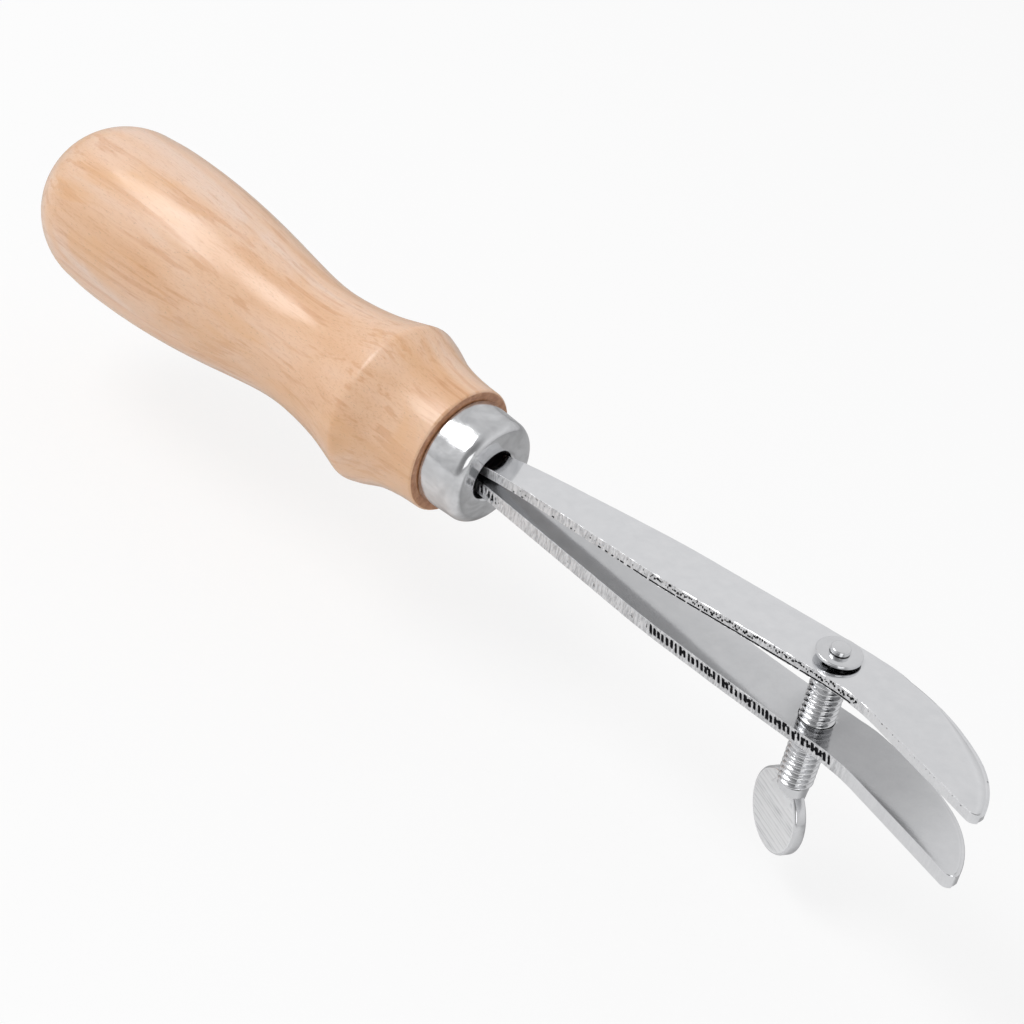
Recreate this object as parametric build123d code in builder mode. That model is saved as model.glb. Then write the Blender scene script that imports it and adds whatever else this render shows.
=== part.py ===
from build123d import *
import os
from math import cos, radians, sin, tan

# Adjustable screw creaser: a turned wooden handle, a pressed steel ferrule, two spring-steel
# legs that lie face to face, and a spade-headed thumb screw that sets the gap between the legs.
#
# Frame, in millimetres: the origin is the centre of the ferrule's front face, where the legs
# come out. +X runs along the tool to the toes, and +Z runs up the thumb screw's axis.

# ---------------------------------------------------------------- driving dimensions
# Handle
BUTT_X = -103.4           # rear end of the handle
BUTT_R = 14.7             # radius of the round butt
BUTT_LEAN = 2.4           # degrees of outward lean where the butt's arc meets the grip
GRIP = [                  # (x, radius) from the butt over the belly and the waist to the ridge
    (-88.0, 14.8),
    (-80.7, 15.05),
    (-72.0, 14.7),
    (-63.0, 13.8),
    (-55.0, 12.6),
    (-48.0, 11.45),
    (-42.2, 10.9),
    (-36.0, 11.2),
    (-30.5, 12.05),
]
RIDGE_X, RIDGE_R = -22.65, 14.15
RIDGE_SLOPE = 0.3         # how steeply the grip runs up to the ridge
RIDGE_HALF_WIDTH = 0.6    # half the length of the ridge's rounded top
RIDGE_CROWN = 0.09
NOSE = [(-20.0, 13.4), (-17.0, 12.15), (-13.7, 11.4)]
NOSE_TAPER = 0.03
SHOULDER_X = -7.7         # flat front end of the wood
SHOULDER_R = 10.95
SHOULDER_ROUND = 0.45
TENON_LENGTH = 4.6
TENON_CLEARANCE = 0.05
BORE_R = 4.3              # free space around the leg roots
BORE_DEPTH = 1.5          # how far the bore runs behind the shoulder
MORTISE_END_GAP = 0.5     # space behind the tangs

# Ferrule
FERRULE_R = 9.0
FERRULE_WALL = 1.0
FERRULE_LENGTH = 7.55
FERRULE_CORNER_R = 1.8
MOUTH_R = 4.2             # hole that the legs come out of
MOUTH_LIP = 1.6           # depth of the rolled-in lip
MOUTH_ROUND = 0.8

# Legs
HINGE_X = -7.2            # where each leg starts to flex
UPPER_T = 1.7
LOWER_T = 2.35
ROOT_HALF_WIDTH = 2.3
LEG_HALF_WIDTH = 5.05
FLARE_END_X = 35.3
TOE_BEND_X = 73.4         # the near edge sweeps sideways from here
HEEL_START_X = 71.0       # the far edge starts its sweep a little earlier
TOE_HEEL_X, TOE_HEEL_Y = 90.3, -0.15
TOE_X, TOE_Y = 98.5, -12.4
TOE_BEND_R = 30.0
TOE_TIP_LENGTH = 2.2      # straight end of the toe, before its corner is rounded
TOE_CORNER_R = 1.3
FLARE_R = 120.0
TOE_SLOPE = 0.035         # rise of both flat toes along +X
TOE_FLAT_X = 70.3
WORKING_EDGE_R = 0.6      # round of the convex edges that rub the leather

# Tangs
TANG_LENGTH = 46.0
TANG_TAPER = 14.0
TANG_POINT_HALF_WIDTH = 0.8
TANG_CLEARANCE = 0.04
SPLIT_GAP = 0.06          # between a tang and the leg that flexes from it

# Thumb screw
SCREW_X = 65.7
THREAD_R = 2.75
THREAD_PITCH = 1.0
THREAD_DEPTH = 0.55
THREAD_FLANK = 30.0       # degrees between a flank and the radial direction
THREAD_CREST_SHARE = 0.16 # crest's width as a share of the pitch
THREAD_ROOT_SINK = 0.08   # how deep the ridge is rooted in the core
THREAD_BOTTOM_Z = -14.0
SHOULDER_Z = 7.85         # top of the thread, under the upper leg
THREAD_CLEARANCE = 0.10   # radial, in the lower leg's tapped hole
TAP_FIRST_TURN = 9        # turns of the thread below and inside the tapped hole
TAP_TURNS = 6
NECK_R = 1.2
WASHER_R = 3.5
WASHER_T = 0.55
WASHER_Z = 10.55          # underside of the captive washer
WASHER_CHAMFER = 0.1
WASHER_BORE_CLEARANCE = 0.06
RIVET_R = 1.45
RIVET_H = 0.5
RIVET_ROUND = 0.3
SPADE_CENTRE_Z = -20.75
SPADE_R = 6.7
SPADE_T = 2.05
SPADE_OFFSET = -1.15      # how far across its own width the spade is forged off the screw's axis
SPADE_EDGE_R = 0.45
NECK_START_R = 2.45
NECK_END_Z = -18.5        # where the forged neck has flattened into the spade
NECK_END_WIDTH = 7.0
NECK_END_T = 2.0
NECK_END_ROUND = 0.7
SPADE_ANGLE = -117.0      # direction that the flat of the spade faces, about the screw axis
SLOT_LENGTH = 4.8         # clearance slot in the upper leg, along the tool
SLOT_WIDTH = 2.8
SLOT_SHIFT = 0.1

# Side profiles of the two legs, as (x, z) points of the faces that the screw bears on
UPPER_ROOT_Z = 1.8
UPPER_SCREW_SLOPE = 0.09
UPPER_TOP = [
    (HINGE_X, UPPER_ROOT_Z),
    (0.0, 2.85),
    (12.3, 4.6),
    (28.3, 6.3),
    (44.3, 7.8),
    (58.3, 9.2),
    (SCREW_X, 9.88),
]
LOWER_ROOT_Z = -0.1
LOWER_SCREW_SLOPE = 0.012
LOWER_TOP = [
    (HINGE_X, LOWER_ROOT_Z),
    (12.3, -0.42),
    (28.3, -0.78),
    (44.3, -1.17),
    (56.3, -1.3),
    (SCREW_X, -1.25),
]

os.makedirs("parts", exist_ok=True)


# ---------------------------------------------------------------- handle
mortise_top = UPPER_ROOT_Z + TANG_CLEARANCE
mortise_bottom = LOWER_ROOT_Z - LOWER_T - TANG_CLEARANCE
tang_end_x = HINGE_X - TANG_LENGTH
mortise_end_x = tang_end_x - MORTISE_END_GAP

with BuildPart() as handle:
    with BuildSketch(Plane.XZ):
        with BuildLine():
            butt = CenterArc((BUTT_X + BUTT_R, 0), BUTT_R, 90 + BUTT_LEAN, 90 - BUTT_LEAN)
            grip = Spline(
                butt @ 0,
                *GRIP,
                (RIDGE_X - RIDGE_HALF_WIDTH, RIDGE_R - RIDGE_CROWN),
                tangents=[(cos(radians(BUTT_LEAN)), sin(radians(BUTT_LEAN))), (1, RIDGE_SLOPE)],
            )
            ridge_front = (RIDGE_X + RIDGE_HALF_WIDTH, RIDGE_R - RIDGE_CROWN)
            ridge = TangentArc(grip @ 1, ridge_front, tangent=(1, RIDGE_SLOPE))
            nose = Spline(
                ridge @ 1,
                *NOSE,
                (SHOULDER_X - SHOULDER_ROUND, SHOULDER_R),
                tangents=[ridge % 1, (1, -NOSE_TAPER)],
            )
            front = TangentArc(nose @ 1, (SHOULDER_X, SHOULDER_R - SHOULDER_ROUND), tangent=(1, 0))
            Polyline(front @ 1, (SHOULDER_X, 0), (BUTT_X, 0))
        make_face()
    revolve(axis=Axis.X)
    with BuildSketch(Plane.YZ.offset(SHOULDER_X)):
        Circle(FERRULE_R - FERRULE_WALL - TENON_CLEARANCE)
    extrude(amount=TENON_LENGTH)
    with BuildSketch(Plane.YZ.offset(SHOULDER_X + TENON_LENGTH)):
        Circle(BORE_R)
    extrude(amount=-(TENON_LENGTH + BORE_DEPTH), mode=Mode.SUBTRACT)
    with BuildSketch(Plane.XZ):
        with Locations(((mortise_end_x + SHOULDER_X) / 2, (mortise_top + mortise_bottom) / 2)):
            Rectangle(SHOULDER_X - mortise_end_x, mortise_top - mortise_bottom)
    extrude(amount=ROOT_HALF_WIDTH + TANG_CLEARANCE, both=True, mode=Mode.SUBTRACT)

handle.part.label = "handle"
export_step(handle.part, "parts/handle.step")


# ---------------------------------------------------------------- ferrule
inner_r = FERRULE_R - FERRULE_WALL

with BuildPart() as ferrule:
    with BuildSketch(Plane.XZ) as cup:
        with BuildLine():
            Polyline(
                (-FERRULE_LENGTH, inner_r),
                (-FERRULE_LENGTH, FERRULE_R),
                (0, FERRULE_R),
                (0, MOUTH_R),
                (-MOUTH_LIP, MOUTH_R),
                (-MOUTH_LIP, MOUTH_R + FERRULE_WALL),
                (-FERRULE_WALL, MOUTH_R + FERRULE_WALL),
                (-FERRULE_WALL, inner_r),
                close=True,
            )
        make_face()
        fillet(cup.vertices().sort_by_distance((0, FERRULE_R))[0], FERRULE_CORNER_R)
        fillet(cup.vertices().sort_by_distance((0, MOUTH_R))[0], MOUTH_ROUND)
    revolve(axis=Axis.X)

ferrule.part.label = "ferrule"
export_step(ferrule.part, "parts/ferrule.step")


# ---------------------------------------------------------------- legs
# Both legs are cut to the same plan outline: a flared strip whose toe sweeps to one side.
with BuildSketch() as leg_plan:
    with BuildLine():
        far_side = Polyline(
            (HINGE_X, ROOT_HALF_WIDTH),
            (FLARE_END_X, LEG_HALF_WIDTH),
            (HEEL_START_X, LEG_HALF_WIDTH),
        )
        heel = TangentArc(far_side @ 1, (TOE_HEEL_X, TOE_HEEL_Y), tangent=(1, 0))
        toe = TangentArc(heel @ 1, (TOE_X, TOE_Y + TOE_TIP_LENGTH), tangent=heel % 1)
        Polyline(
            toe @ 1,
            (TOE_X, TOE_Y),
            (TOE_BEND_X, -LEG_HALF_WIDTH),
            (FLARE_END_X, -LEG_HALF_WIDTH),
            (HINGE_X, -ROOT_HALF_WIDTH),
            far_side @ 0,
        )
    make_face()
    for corner, corner_r in (
        ((TOE_X, TOE_Y), TOE_CORNER_R),
        ((TOE_BEND_X, -LEG_HALF_WIDTH), TOE_BEND_R),
        ((FLARE_END_X, -LEG_HALF_WIDTH), FLARE_R),
        ((FLARE_END_X, LEG_HALF_WIDTH), FLARE_R),
    ):
        fillet(leg_plan.vertices().sort_by_distance(corner)[0], corner_r)


def leg_side(top_points, screw_slope, thickness):
    """Side outline of a leg: bowed from its root to the screw, then a straight toe."""
    end_x = TOE_X + thickness  # past the toe, where the plan outline cuts it off
    ends = []
    for drop in (0, thickness):
        points = [(x, z - drop) for x, z in top_points]
        bow = Spline(*points, tangents=[(1, 0), (1, screw_slope)])
        ease_rise = (TOE_FLAT_X - SCREW_X) * (screw_slope + TOE_SLOPE) / 2
        ease_end = (TOE_FLAT_X, points[-1][1] + ease_rise)
        Spline(bow @ 1, ease_end, tangents=[(1, screw_slope), (1, TOE_SLOPE)])
        toe_end = (end_x, ease_end[1] + TOE_SLOPE * (end_x - TOE_FLAT_X))
        Line(ease_end, toe_end)
        ends += [bow @ 0, toe_end]
    Line(ends[0], ends[2])
    Line(ends[1], ends[3])


def thread_ridge(growth, z_start, height):
    """Helical ridge about the screw's axis, its flanks and crest moved out by growth."""
    slant = tan(radians(THREAD_FLANK))
    crest = THREAD_DEPTH + THREAD_ROOT_SINK
    half_crest = THREAD_PITCH * THREAD_CREST_SHARE / 2 + growth * slant
    half_base = half_crest + THREAD_DEPTH * slant
    ridge_root_r = THREAD_R - crest
    with BuildPart() as ridge_part:
        with BuildLine() as coil:
            Helix(THREAD_PITCH, height, ridge_root_r, center=(SCREW_X, 0, z_start))
        with BuildSketch(Plane(coil.line @ 0, x_dir=(1, 0, 0), z_dir=coil.line % 0)):
            Polygon(
                (0, -half_base),
                (crest + growth, -half_crest),
                (crest + growth, half_crest),
                (0, half_base),
                align=None,
            )
        sweep(path=coil.line, is_frenet=True)
    return ridge_part.part


def on_working_edge(edge):
    """The long convex edges of the toe, top and bottom, which rub the leather."""
    middle = edge @ 0.5
    return middle.X > TOE_FLAT_X and middle.Y > -LEG_HALF_WIDTH and edge.length > 2 * LOWER_T


with BuildPart() as upper_leg:
    with BuildSketch(Plane.XZ):
        with BuildLine():
            leg_side(UPPER_TOP, UPPER_SCREW_SLOPE, UPPER_T)
        make_face()
    extrude(amount=TOE_X, both=True)
    extrude(leg_plan.sketch, amount=TOE_X, both=True, mode=Mode.INTERSECT)
    with BuildSketch(Plane.XZ):
        with Locations((HINGE_X, UPPER_ROOT_Z - UPPER_T / 2)):
            Circle(UPPER_T / 2)
    extrude(amount=ROOT_HALF_WIDTH, both=True)
    with BuildSketch(Plane.XY.offset(SHOULDER_Z)):
        with Locations((SCREW_X + SLOT_SHIFT, 0)):
            SlotOverall(SLOT_LENGTH, SLOT_WIDTH)
    extrude(amount=2 * UPPER_T, mode=Mode.SUBTRACT)

    working_edges = upper_leg.edges().filter_by(on_working_edge)
    fillet(working_edges, WORKING_EDGE_R)

upper_leg.part.label = "upper_leg"
export_step(upper_leg.part, "parts/upper_leg.step")

tap_z = THREAD_BOTTOM_Z + TAP_FIRST_TURN * THREAD_PITCH
tap = thread_ridge(THREAD_CLEARANCE, tap_z, TAP_TURNS * THREAD_PITCH)

with BuildPart() as lower_leg:
    with BuildSketch(Plane.XZ):
        with BuildLine():
            leg_side(LOWER_TOP, LOWER_SCREW_SLOPE, LOWER_T)
        make_face()
    extrude(amount=TOE_X, both=True)
    extrude(leg_plan.sketch, amount=TOE_X, both=True, mode=Mode.INTERSECT)
    with BuildSketch(Plane.XZ):
        with Locations((HINGE_X, LOWER_ROOT_Z - LOWER_T / 2)):
            Circle(LOWER_T / 2)
    extrude(amount=ROOT_HALF_WIDTH, both=True)
    with BuildSketch():
        with Locations((SCREW_X, 0)):
            Circle(THREAD_R - THREAD_DEPTH + 2 * THREAD_CLEARANCE)
    extrude(amount=-3 * LOWER_T, mode=Mode.SUBTRACT)
    add(tap, mode=Mode.SUBTRACT)

    working_edges = lower_leg.edges().filter_by(on_working_edge)
    fillet(working_edges, WORKING_EDGE_R)

lower_leg.part.label = "lower_leg"
export_step(lower_leg.part, "parts/lower_leg.step")


# ---------------------------------------------------------------- tangs
def tang_plan(rear_x, front_x):
    """Plan outline of a tang: a strip that narrows to a point in the last stretch."""
    Polygon(
        (front_x, -ROOT_HALF_WIDTH),
        (front_x, ROOT_HALF_WIDTH),
        (rear_x + TANG_TAPER, ROOT_HALF_WIDTH),
        (rear_x, TANG_POINT_HALF_WIDTH),
        (rear_x, -TANG_POINT_HALF_WIDTH),
        (rear_x + TANG_TAPER, -ROOT_HALF_WIDTH),
        align=None,
    )


with BuildPart() as upper_tang:
    with BuildSketch(Plane.XY.offset(UPPER_ROOT_Z)):
        tang_plan(tang_end_x, HINGE_X - UPPER_T / 2 - SPLIT_GAP)
    extrude(amount=-UPPER_T)

upper_tang.part.label = "upper_tang"
export_step(upper_tang.part, "parts/upper_tang.step")

with BuildPart() as lower_tang:
    with BuildSketch(Plane.XY.offset(LOWER_ROOT_Z)):
        tang_plan(tang_end_x, HINGE_X - LOWER_T / 2 - SPLIT_GAP)
    extrude(amount=-LOWER_T)

lower_tang.part.label = "lower_tang"
export_step(lower_tang.part, "parts/lower_tang.step")


# ---------------------------------------------------------------- thumb screw
screw_axis = Plane((SCREW_X, 0, 0), x_dir=(1, 0, 0), z_dir=(0, 0, 1))
spade_facing = (cos(radians(SPADE_ANGLE)), sin(radians(SPADE_ANGLE)), 0)
spade_across = (-sin(radians(SPADE_ANGLE)), cos(radians(SPADE_ANGLE)), 0)
thread_length = SHOULDER_Z - THREAD_BOTTOM_Z
rivet_z = WASHER_Z + WASHER_T + WASHER_BORE_CLEARANCE
ridge = thread_ridge(0, THREAD_BOTTOM_Z - THREAD_PITCH, thread_length + 2 * THREAD_PITCH)

with BuildPart() as spade:
    with BuildSketch(Plane((SCREW_X, 0, SPADE_CENTRE_Z), x_dir=spade_across, z_dir=spade_facing)):
        with Locations((SPADE_OFFSET, 0)):
            Circle(SPADE_R)
    extrude(amount=SPADE_T / 2, both=True)
    fillet(spade.edges().filter_by(GeomType.CIRCLE), SPADE_EDGE_R)

with BuildPart() as thread_limit:
    with BuildSketch(screw_axis.offset(THREAD_BOTTOM_Z)):
        Circle(THREAD_R + THREAD_DEPTH)
    extrude(amount=thread_length)
    chamfer(thread_limit.edges().group_by(Axis.Z)[-1], 2 * THREAD_DEPTH)
thread = thread_limit.part & ridge

with BuildPart() as thumb_screw:
    with BuildSketch(screw_axis.offset(THREAD_BOTTOM_Z)):
        Circle(THREAD_R - THREAD_DEPTH)
    extrude(amount=thread_length)
    add(thread)
    with BuildSketch(screw_axis.offset(SHOULDER_Z)):
        Circle(NECK_R)
    extrude(amount=rivet_z - SHOULDER_Z)
    with BuildSketch(screw_axis.offset(rivet_z)):
        Circle(RIVET_R)
    extrude(amount=RIVET_H)
    fillet(thumb_screw.edges().group_by(Axis.Z)[-1], RIVET_ROUND)
    with BuildSketch(screw_axis.offset(THREAD_BOTTOM_Z)):
        Circle(NECK_START_R)
    with BuildSketch(Plane((SCREW_X, 0, NECK_END_Z), x_dir=spade_across, z_dir=(0, 0, 1))):
        with Locations((SPADE_OFFSET, 0)):
            RectangleRounded(NECK_END_WIDTH, NECK_END_T, NECK_END_ROUND)
    loft()
    add(spade.part)

thumb_screw.part.label = "thumb_screw"
export_step(thumb_screw.part, "parts/thumb_screw.step")


# ---------------------------------------------------------------- captive washer
with BuildPart() as captive_washer:
    with BuildSketch(screw_axis.offset(WASHER_Z)):
        Circle(WASHER_R)
        Circle(NECK_R + WASHER_BORE_CLEARANCE, mode=Mode.SUBTRACT)
    extrude(amount=WASHER_T)
    rims = captive_washer.edges().filter_by(GeomType.CIRCLE).sort_by(SortBy.RADIUS)[-2:]
    chamfer(rims, WASHER_CHAMFER)

captive_washer.part.label = "captive_washer"
export_step(captive_washer.part, "parts/captive_washer.step")
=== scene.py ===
from math import cos, radians, sin, sqrt, tau
from random import Random

import bpy
from mathutils import Matrix, Vector, noise
from mathutils.bvhtree import BVHTree


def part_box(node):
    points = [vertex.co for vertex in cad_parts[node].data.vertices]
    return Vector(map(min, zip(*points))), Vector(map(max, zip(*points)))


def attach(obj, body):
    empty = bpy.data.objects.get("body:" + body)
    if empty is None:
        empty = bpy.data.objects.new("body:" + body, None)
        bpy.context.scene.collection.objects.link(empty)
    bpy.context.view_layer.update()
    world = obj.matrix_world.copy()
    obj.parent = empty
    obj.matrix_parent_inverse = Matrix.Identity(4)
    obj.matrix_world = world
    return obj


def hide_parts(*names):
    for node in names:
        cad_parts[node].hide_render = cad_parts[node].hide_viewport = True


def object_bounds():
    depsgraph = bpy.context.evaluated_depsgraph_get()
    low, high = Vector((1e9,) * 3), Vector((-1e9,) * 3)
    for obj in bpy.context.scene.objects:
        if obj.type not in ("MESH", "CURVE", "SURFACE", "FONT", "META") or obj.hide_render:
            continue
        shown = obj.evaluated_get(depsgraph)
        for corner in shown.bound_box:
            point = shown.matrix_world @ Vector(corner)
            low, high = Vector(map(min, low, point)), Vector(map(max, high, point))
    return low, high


# Adjustable screw creaser: turned wooden handle, pressed ferrule, two sheared spring-steel legs
# and a spade-headed thumb screw with a captive washer. Everything is in metres, in the CAD frame:
# +X runs to the toes and +Z up the screw's axis.

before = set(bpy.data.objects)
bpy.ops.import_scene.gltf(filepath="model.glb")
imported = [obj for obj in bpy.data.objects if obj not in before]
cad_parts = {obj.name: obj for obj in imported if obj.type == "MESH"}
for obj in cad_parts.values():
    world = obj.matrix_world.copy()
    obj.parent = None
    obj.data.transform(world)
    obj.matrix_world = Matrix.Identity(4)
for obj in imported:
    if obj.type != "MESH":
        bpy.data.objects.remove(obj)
cad_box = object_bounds()

MM = 0.001

# ---------------------------------------------------------------- places, read from the frame
ferrule_low, ferrule_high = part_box("ferrule")
screw_low, screw_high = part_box("thumb_screw")
washer_low, washer_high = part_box("captive_washer")

SCREW_X = (washer_low.x + washer_high.x) / 2
FERRULE_R = ferrule_high.z
SHOULDER_X = ferrule_low.x
TOE_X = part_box("upper_leg")[1].x


# ---------------------------------------------------------------- mesh helpers
def smooth(mesh, sharp_angle=40):
    """Smooth shading, with edges sharper than the angle kept crisp."""
    mesh.polygons.foreach_set("use_smooth", [True] * len(mesh.polygons))
    mesh.set_sharp_from_angle(angle=radians(sharp_angle))
    mesh.update()


def new_piece(name, points, faces, sharp_angle=40):
    """A mesh object in the scene, smooth shaded, from its points and faces."""
    mesh = bpy.data.meshes.new(name)
    mesh.from_pydata([tuple(p) for p in points], [], faces)
    mesh.validate()
    piece = bpy.data.objects.new(name, mesh)
    bpy.context.scene.collection.objects.link(piece)
    smooth(mesh, sharp_angle)
    return piece


def ring_faces(rings, segments, closed_profile):
    """Quads between successive rings of equal size, each ring closed on itself."""
    faces = []
    last = rings if closed_profile else rings - 1
    for i in range(last):
        a, b = i * segments, ((i + 1) % rings) * segments
        for j in range(segments):
            k = (j + 1) % segments
            faces.append((a + j, a + k, b + k, b + j))
    return faces


def arc(centre, radius, start, end, steps):
    """Points of an arc as (x, r) pairs, angles in degrees."""
    angles = [radians(start + (end - start) * i / steps) for i in range(steps + 1)]
    return [(centre[0] + radius * cos(a), centre[1] + radius * sin(a)) for a in angles]


def straight(start, end, steps):
    """Points of a line without its last one."""
    return [
        (start[0] + (end[0] - start[0]) * i / steps, start[1] + (end[1] - start[1]) * i / steps)
        for i in range(steps)
    ]


def join_meshes(piece, others, operation):
    """Boolean of piece with closed meshes, which are then removed."""
    for other in others:
        cut = piece.modifiers.new("join", "BOOLEAN")
        cut.operation = operation
        cut.solver = "EXACT"
        cut.object = other
    depsgraph = bpy.context.evaluated_depsgraph_get()
    mesh = bpy.data.meshes.new_from_object(piece.evaluated_get(depsgraph))
    piece.modifiers.clear()
    piece.data = mesh
    for other in others:
        bpy.data.objects.remove(other)
    return piece


def set_attribute(piece, name, values):
    """One number for each vertex, which a material can read by name."""
    attribute = piece.data.attributes.new(name, "FLOAT", "POINT")
    attribute.data.foreach_set("value", values)


def finish_piece(piece, body, material, nodes):
    """Gives the piece its material, puts it on its body and lets it stand for its CAD nodes."""
    piece.data.materials.clear()
    piece.data.materials.append(material)
    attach(piece, body)
    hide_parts(*nodes)


def bump_step(value, low, high):
    """Smooth rise from 0 at low to 1 at high."""
    t = min(1.0, max(0.0, (value - low) / (high - low)))
    return t * t * (3 - 2 * t)


# ---------------------------------------------------------------- material helpers
class Shader:
    """A small wrapper that adds and links shader nodes of one material."""

    def __init__(self, name):
        self.material = bpy.data.materials.new(name)
        self.material.use_nodes = True
        self.tree = self.material.node_tree
        self.bsdf = self.tree.nodes["Principled BSDF"]
        self.place = self.add("ShaderNodeTexCoord").outputs["Object"]

    def add(self, kind, **values):
        node = self.tree.nodes.new(kind)
        for key, value in values.items():
            setattr(node, key, value)
        return node

    def feed(self, socket, value):
        if isinstance(value, bpy.types.NodeSocket):
            self.tree.links.new(value, socket)
        elif hasattr(socket, "default_value"):
            socket.default_value = value

    def scaled(self, scale, turn=(0, 0, 0)):
        """Object coordinates, turned by degrees and stretched."""
        node = self.add("ShaderNodeMapping")
        self.feed(node.inputs["Vector"], self.place)
        node.inputs["Scale"].default_value = scale
        node.inputs["Rotation"].default_value = [radians(a) for a in turn]
        return node.outputs["Vector"]

    def noise(self, vector, scale, detail=3.0, roughness=0.5, distortion=0.0):
        node = self.add("ShaderNodeTexNoise")
        self.feed(node.inputs["Vector"], vector)
        node.inputs["Scale"].default_value = scale
        node.inputs["Detail"].default_value = detail
        node.inputs["Roughness"].default_value = roughness
        node.inputs["Distortion"].default_value = distortion
        return node.outputs["Fac"]

    def ramp(self, value, *stops):
        """Colour ramp; each stop is (position, grey or colour)."""
        node = self.add("ShaderNodeValToRGB")
        self.feed(node.inputs["Fac"], value)
        elements = node.color_ramp.elements
        while len(elements) < len(stops):
            elements.new(0.5)
        for element, (position, colour) in zip(elements, stops):
            element.position = position
            grey = isinstance(colour, (int, float))
            element.color = (colour, colour, colour, 1) if grey else (*colour, 1)
        return node.outputs["Color"]

    def mix(self, factor, a, b, blend="MIX"):
        node = self.add("ShaderNodeMix", data_type="RGBA", blend_type=blend)
        self.feed(node.inputs["Factor"], factor)
        self.feed(node.inputs["A"], a if isinstance(a, bpy.types.NodeSocket) else (*a, 1))
        self.feed(node.inputs["B"], b if isinstance(b, bpy.types.NodeSocket) else (*b, 1))
        return node.outputs["Result"]

    def math(self, operation, a, b=0.0):
        node = self.add("ShaderNodeMath", operation=operation)
        self.feed(node.inputs[0], a)
        self.feed(node.inputs[1], b)
        return node.outputs[0]

    def attribute(self, name):
        """A number stored on the mesh."""
        return self.add("ShaderNodeAttribute", attribute_name=name).outputs["Fac"]

    def bump(self, *layers):
        """Stacks bump layers; each is (height, strength, distance in metres)."""
        normal = None
        for height, strength, distance in layers:
            node = self.add("ShaderNodeBump")
            self.feed(node.inputs["Height"], height)
            node.inputs["Strength"].default_value = strength
            node.inputs["Distance"].default_value = distance
            if normal is not None:
                self.feed(node.inputs["Normal"], normal)
            normal = node.outputs["Normal"]
        self.feed(self.bsdf.inputs["Normal"], normal)

    def set(self, **values):
        """Feeds the Principled shader's inputs, named with _ for a space."""
        for key, value in values.items():
            self.feed(self.bsdf.inputs[key.replace("_", " ")], value)


# ---------------------------------------------------------------- materials
def wood_material():
    """Pale turned hardwood, its grain along X, with a thin satin lacquer."""
    s = Shader("turned_wood")
    place = s.add("ShaderNodeSeparateXYZ")
    s.feed(place.inputs[0], s.place)
    broad = s.noise(s.scaled((1.0, 9.0, 9.0)), 13, 2, 0.5, 0.7)
    streak = s.noise(s.scaled((1.0, 60.0, 60.0)), 13, 2, 0.5, 0.15)
    fine = s.noise(s.scaled((1.0, 9.0, 9.0)), 380, 4, 0.75)
    figure = s.noise(s.scaled((1.0, 2.2, 2.2)), 24, 3, 0.6, 2.2)
    pale = s.ramp(
        broad,
        (0.32, (0.87, 0.515, 0.295)),
        (0.44, (0.94, 0.600, 0.385)),
        (0.54, (0.96, 0.640, 0.445)),
        (0.66, (0.97, 0.71, 0.56)),
    )
    streaks = s.ramp(streak, (0.36, (0.84, 0.71, 0.58)), (0.45, (1, 1, 1)), (1.0, (1, 1, 1)))
    hairs = s.ramp(fine, (0.34, (0.83, 0.73, 0.63)), (0.50, (1, 1, 1)), (0.70, (1, 1, 1)))
    tinted = s.mix(0.55, s.mix(0.6, pale, streaks, "MULTIPLY"), hairs, "MULTIPLY")
    # partly a wavy figure in the wood, partly painted shade: the lower side is coloured warmer and
    # darker than the top
    figure_and_lower_shade = s.math("SUBTRACT", figure, s.math("MULTIPLY", place.outputs["Z"], 7.0))
    warm = s.ramp(figure_and_lower_shade, (0.46, 0.0), (0.58, 0.75), (0.72, 1.0))
    toned = s.mix(s.math("MULTIPLY", warm, 0.58), tinted, (0.90, 0.51, 0.245))
    pores = s.noise(s.scaled((1.0, 3.0, 3.0)), 1500, 2, 0.6)
    pore_mask = s.ramp(pores, (0.63, 0.0), (0.70, 1.0))
    flecked = s.mix(s.math("MULTIPLY", pore_mask, 0.30), toned, (0.42, 0.25, 0.14))

    # the flat end grain round the ferrule is darker and redder; the tenon and bore are painted nearly
    # black as painted shade inside the ferrule
    facing = s.add("ShaderNodeSeparateXYZ")
    s.feed(facing.inputs[0], s.add("ShaderNodeNewGeometry").outputs["Normal"])
    end = s.ramp(facing.outputs["X"], (0.86, 0.0), (0.985, 1.0))
    rings = s.noise(s.place, 900, 3, 0.7)
    end_colour = s.ramp(rings, (0.35, (0.44, 0.175, 0.072)), (0.65, (0.63, 0.31, 0.155)))
    front = s.math("GREATER_THAN", place.outputs["X"], SHOULDER_X - 0.9 * MM)
    ended = s.mix(s.math("MULTIPLY", end, front), flecked, end_colour)
    inside = s.math("GREATER_THAN", place.outputs["X"], SHOULDER_X + 0.3 * MM)
    colour = s.mix(inside, ended, (0.045, 0.040, 0.037))

    sheen = s.noise(s.scaled((1.0, 4.0, 4.0)), 70, 3)
    s.set(
        Base_Color=colour,
        Roughness=s.ramp(sheen, (0.3, 0.42), (0.7, 0.54)),
        Coat_Weight=0.8,
        Coat_Roughness=s.ramp(sheen, (0.3, 0.17), (0.7, 0.27)),
        Subsurface_Weight=0.06,
        Subsurface_Radius=(0.0025, 0.0012, 0.0006),
    )
    fibre = s.noise(s.scaled((1.0, 12.0, 12.0)), 260, 3, 0.65)
    s.bump((fibre, 0.16, 0.1 * MM), (pore_mask, -0.20, 0.05 * MM), (streak, 0.10, 0.4 * MM))
    return s.material


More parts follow.
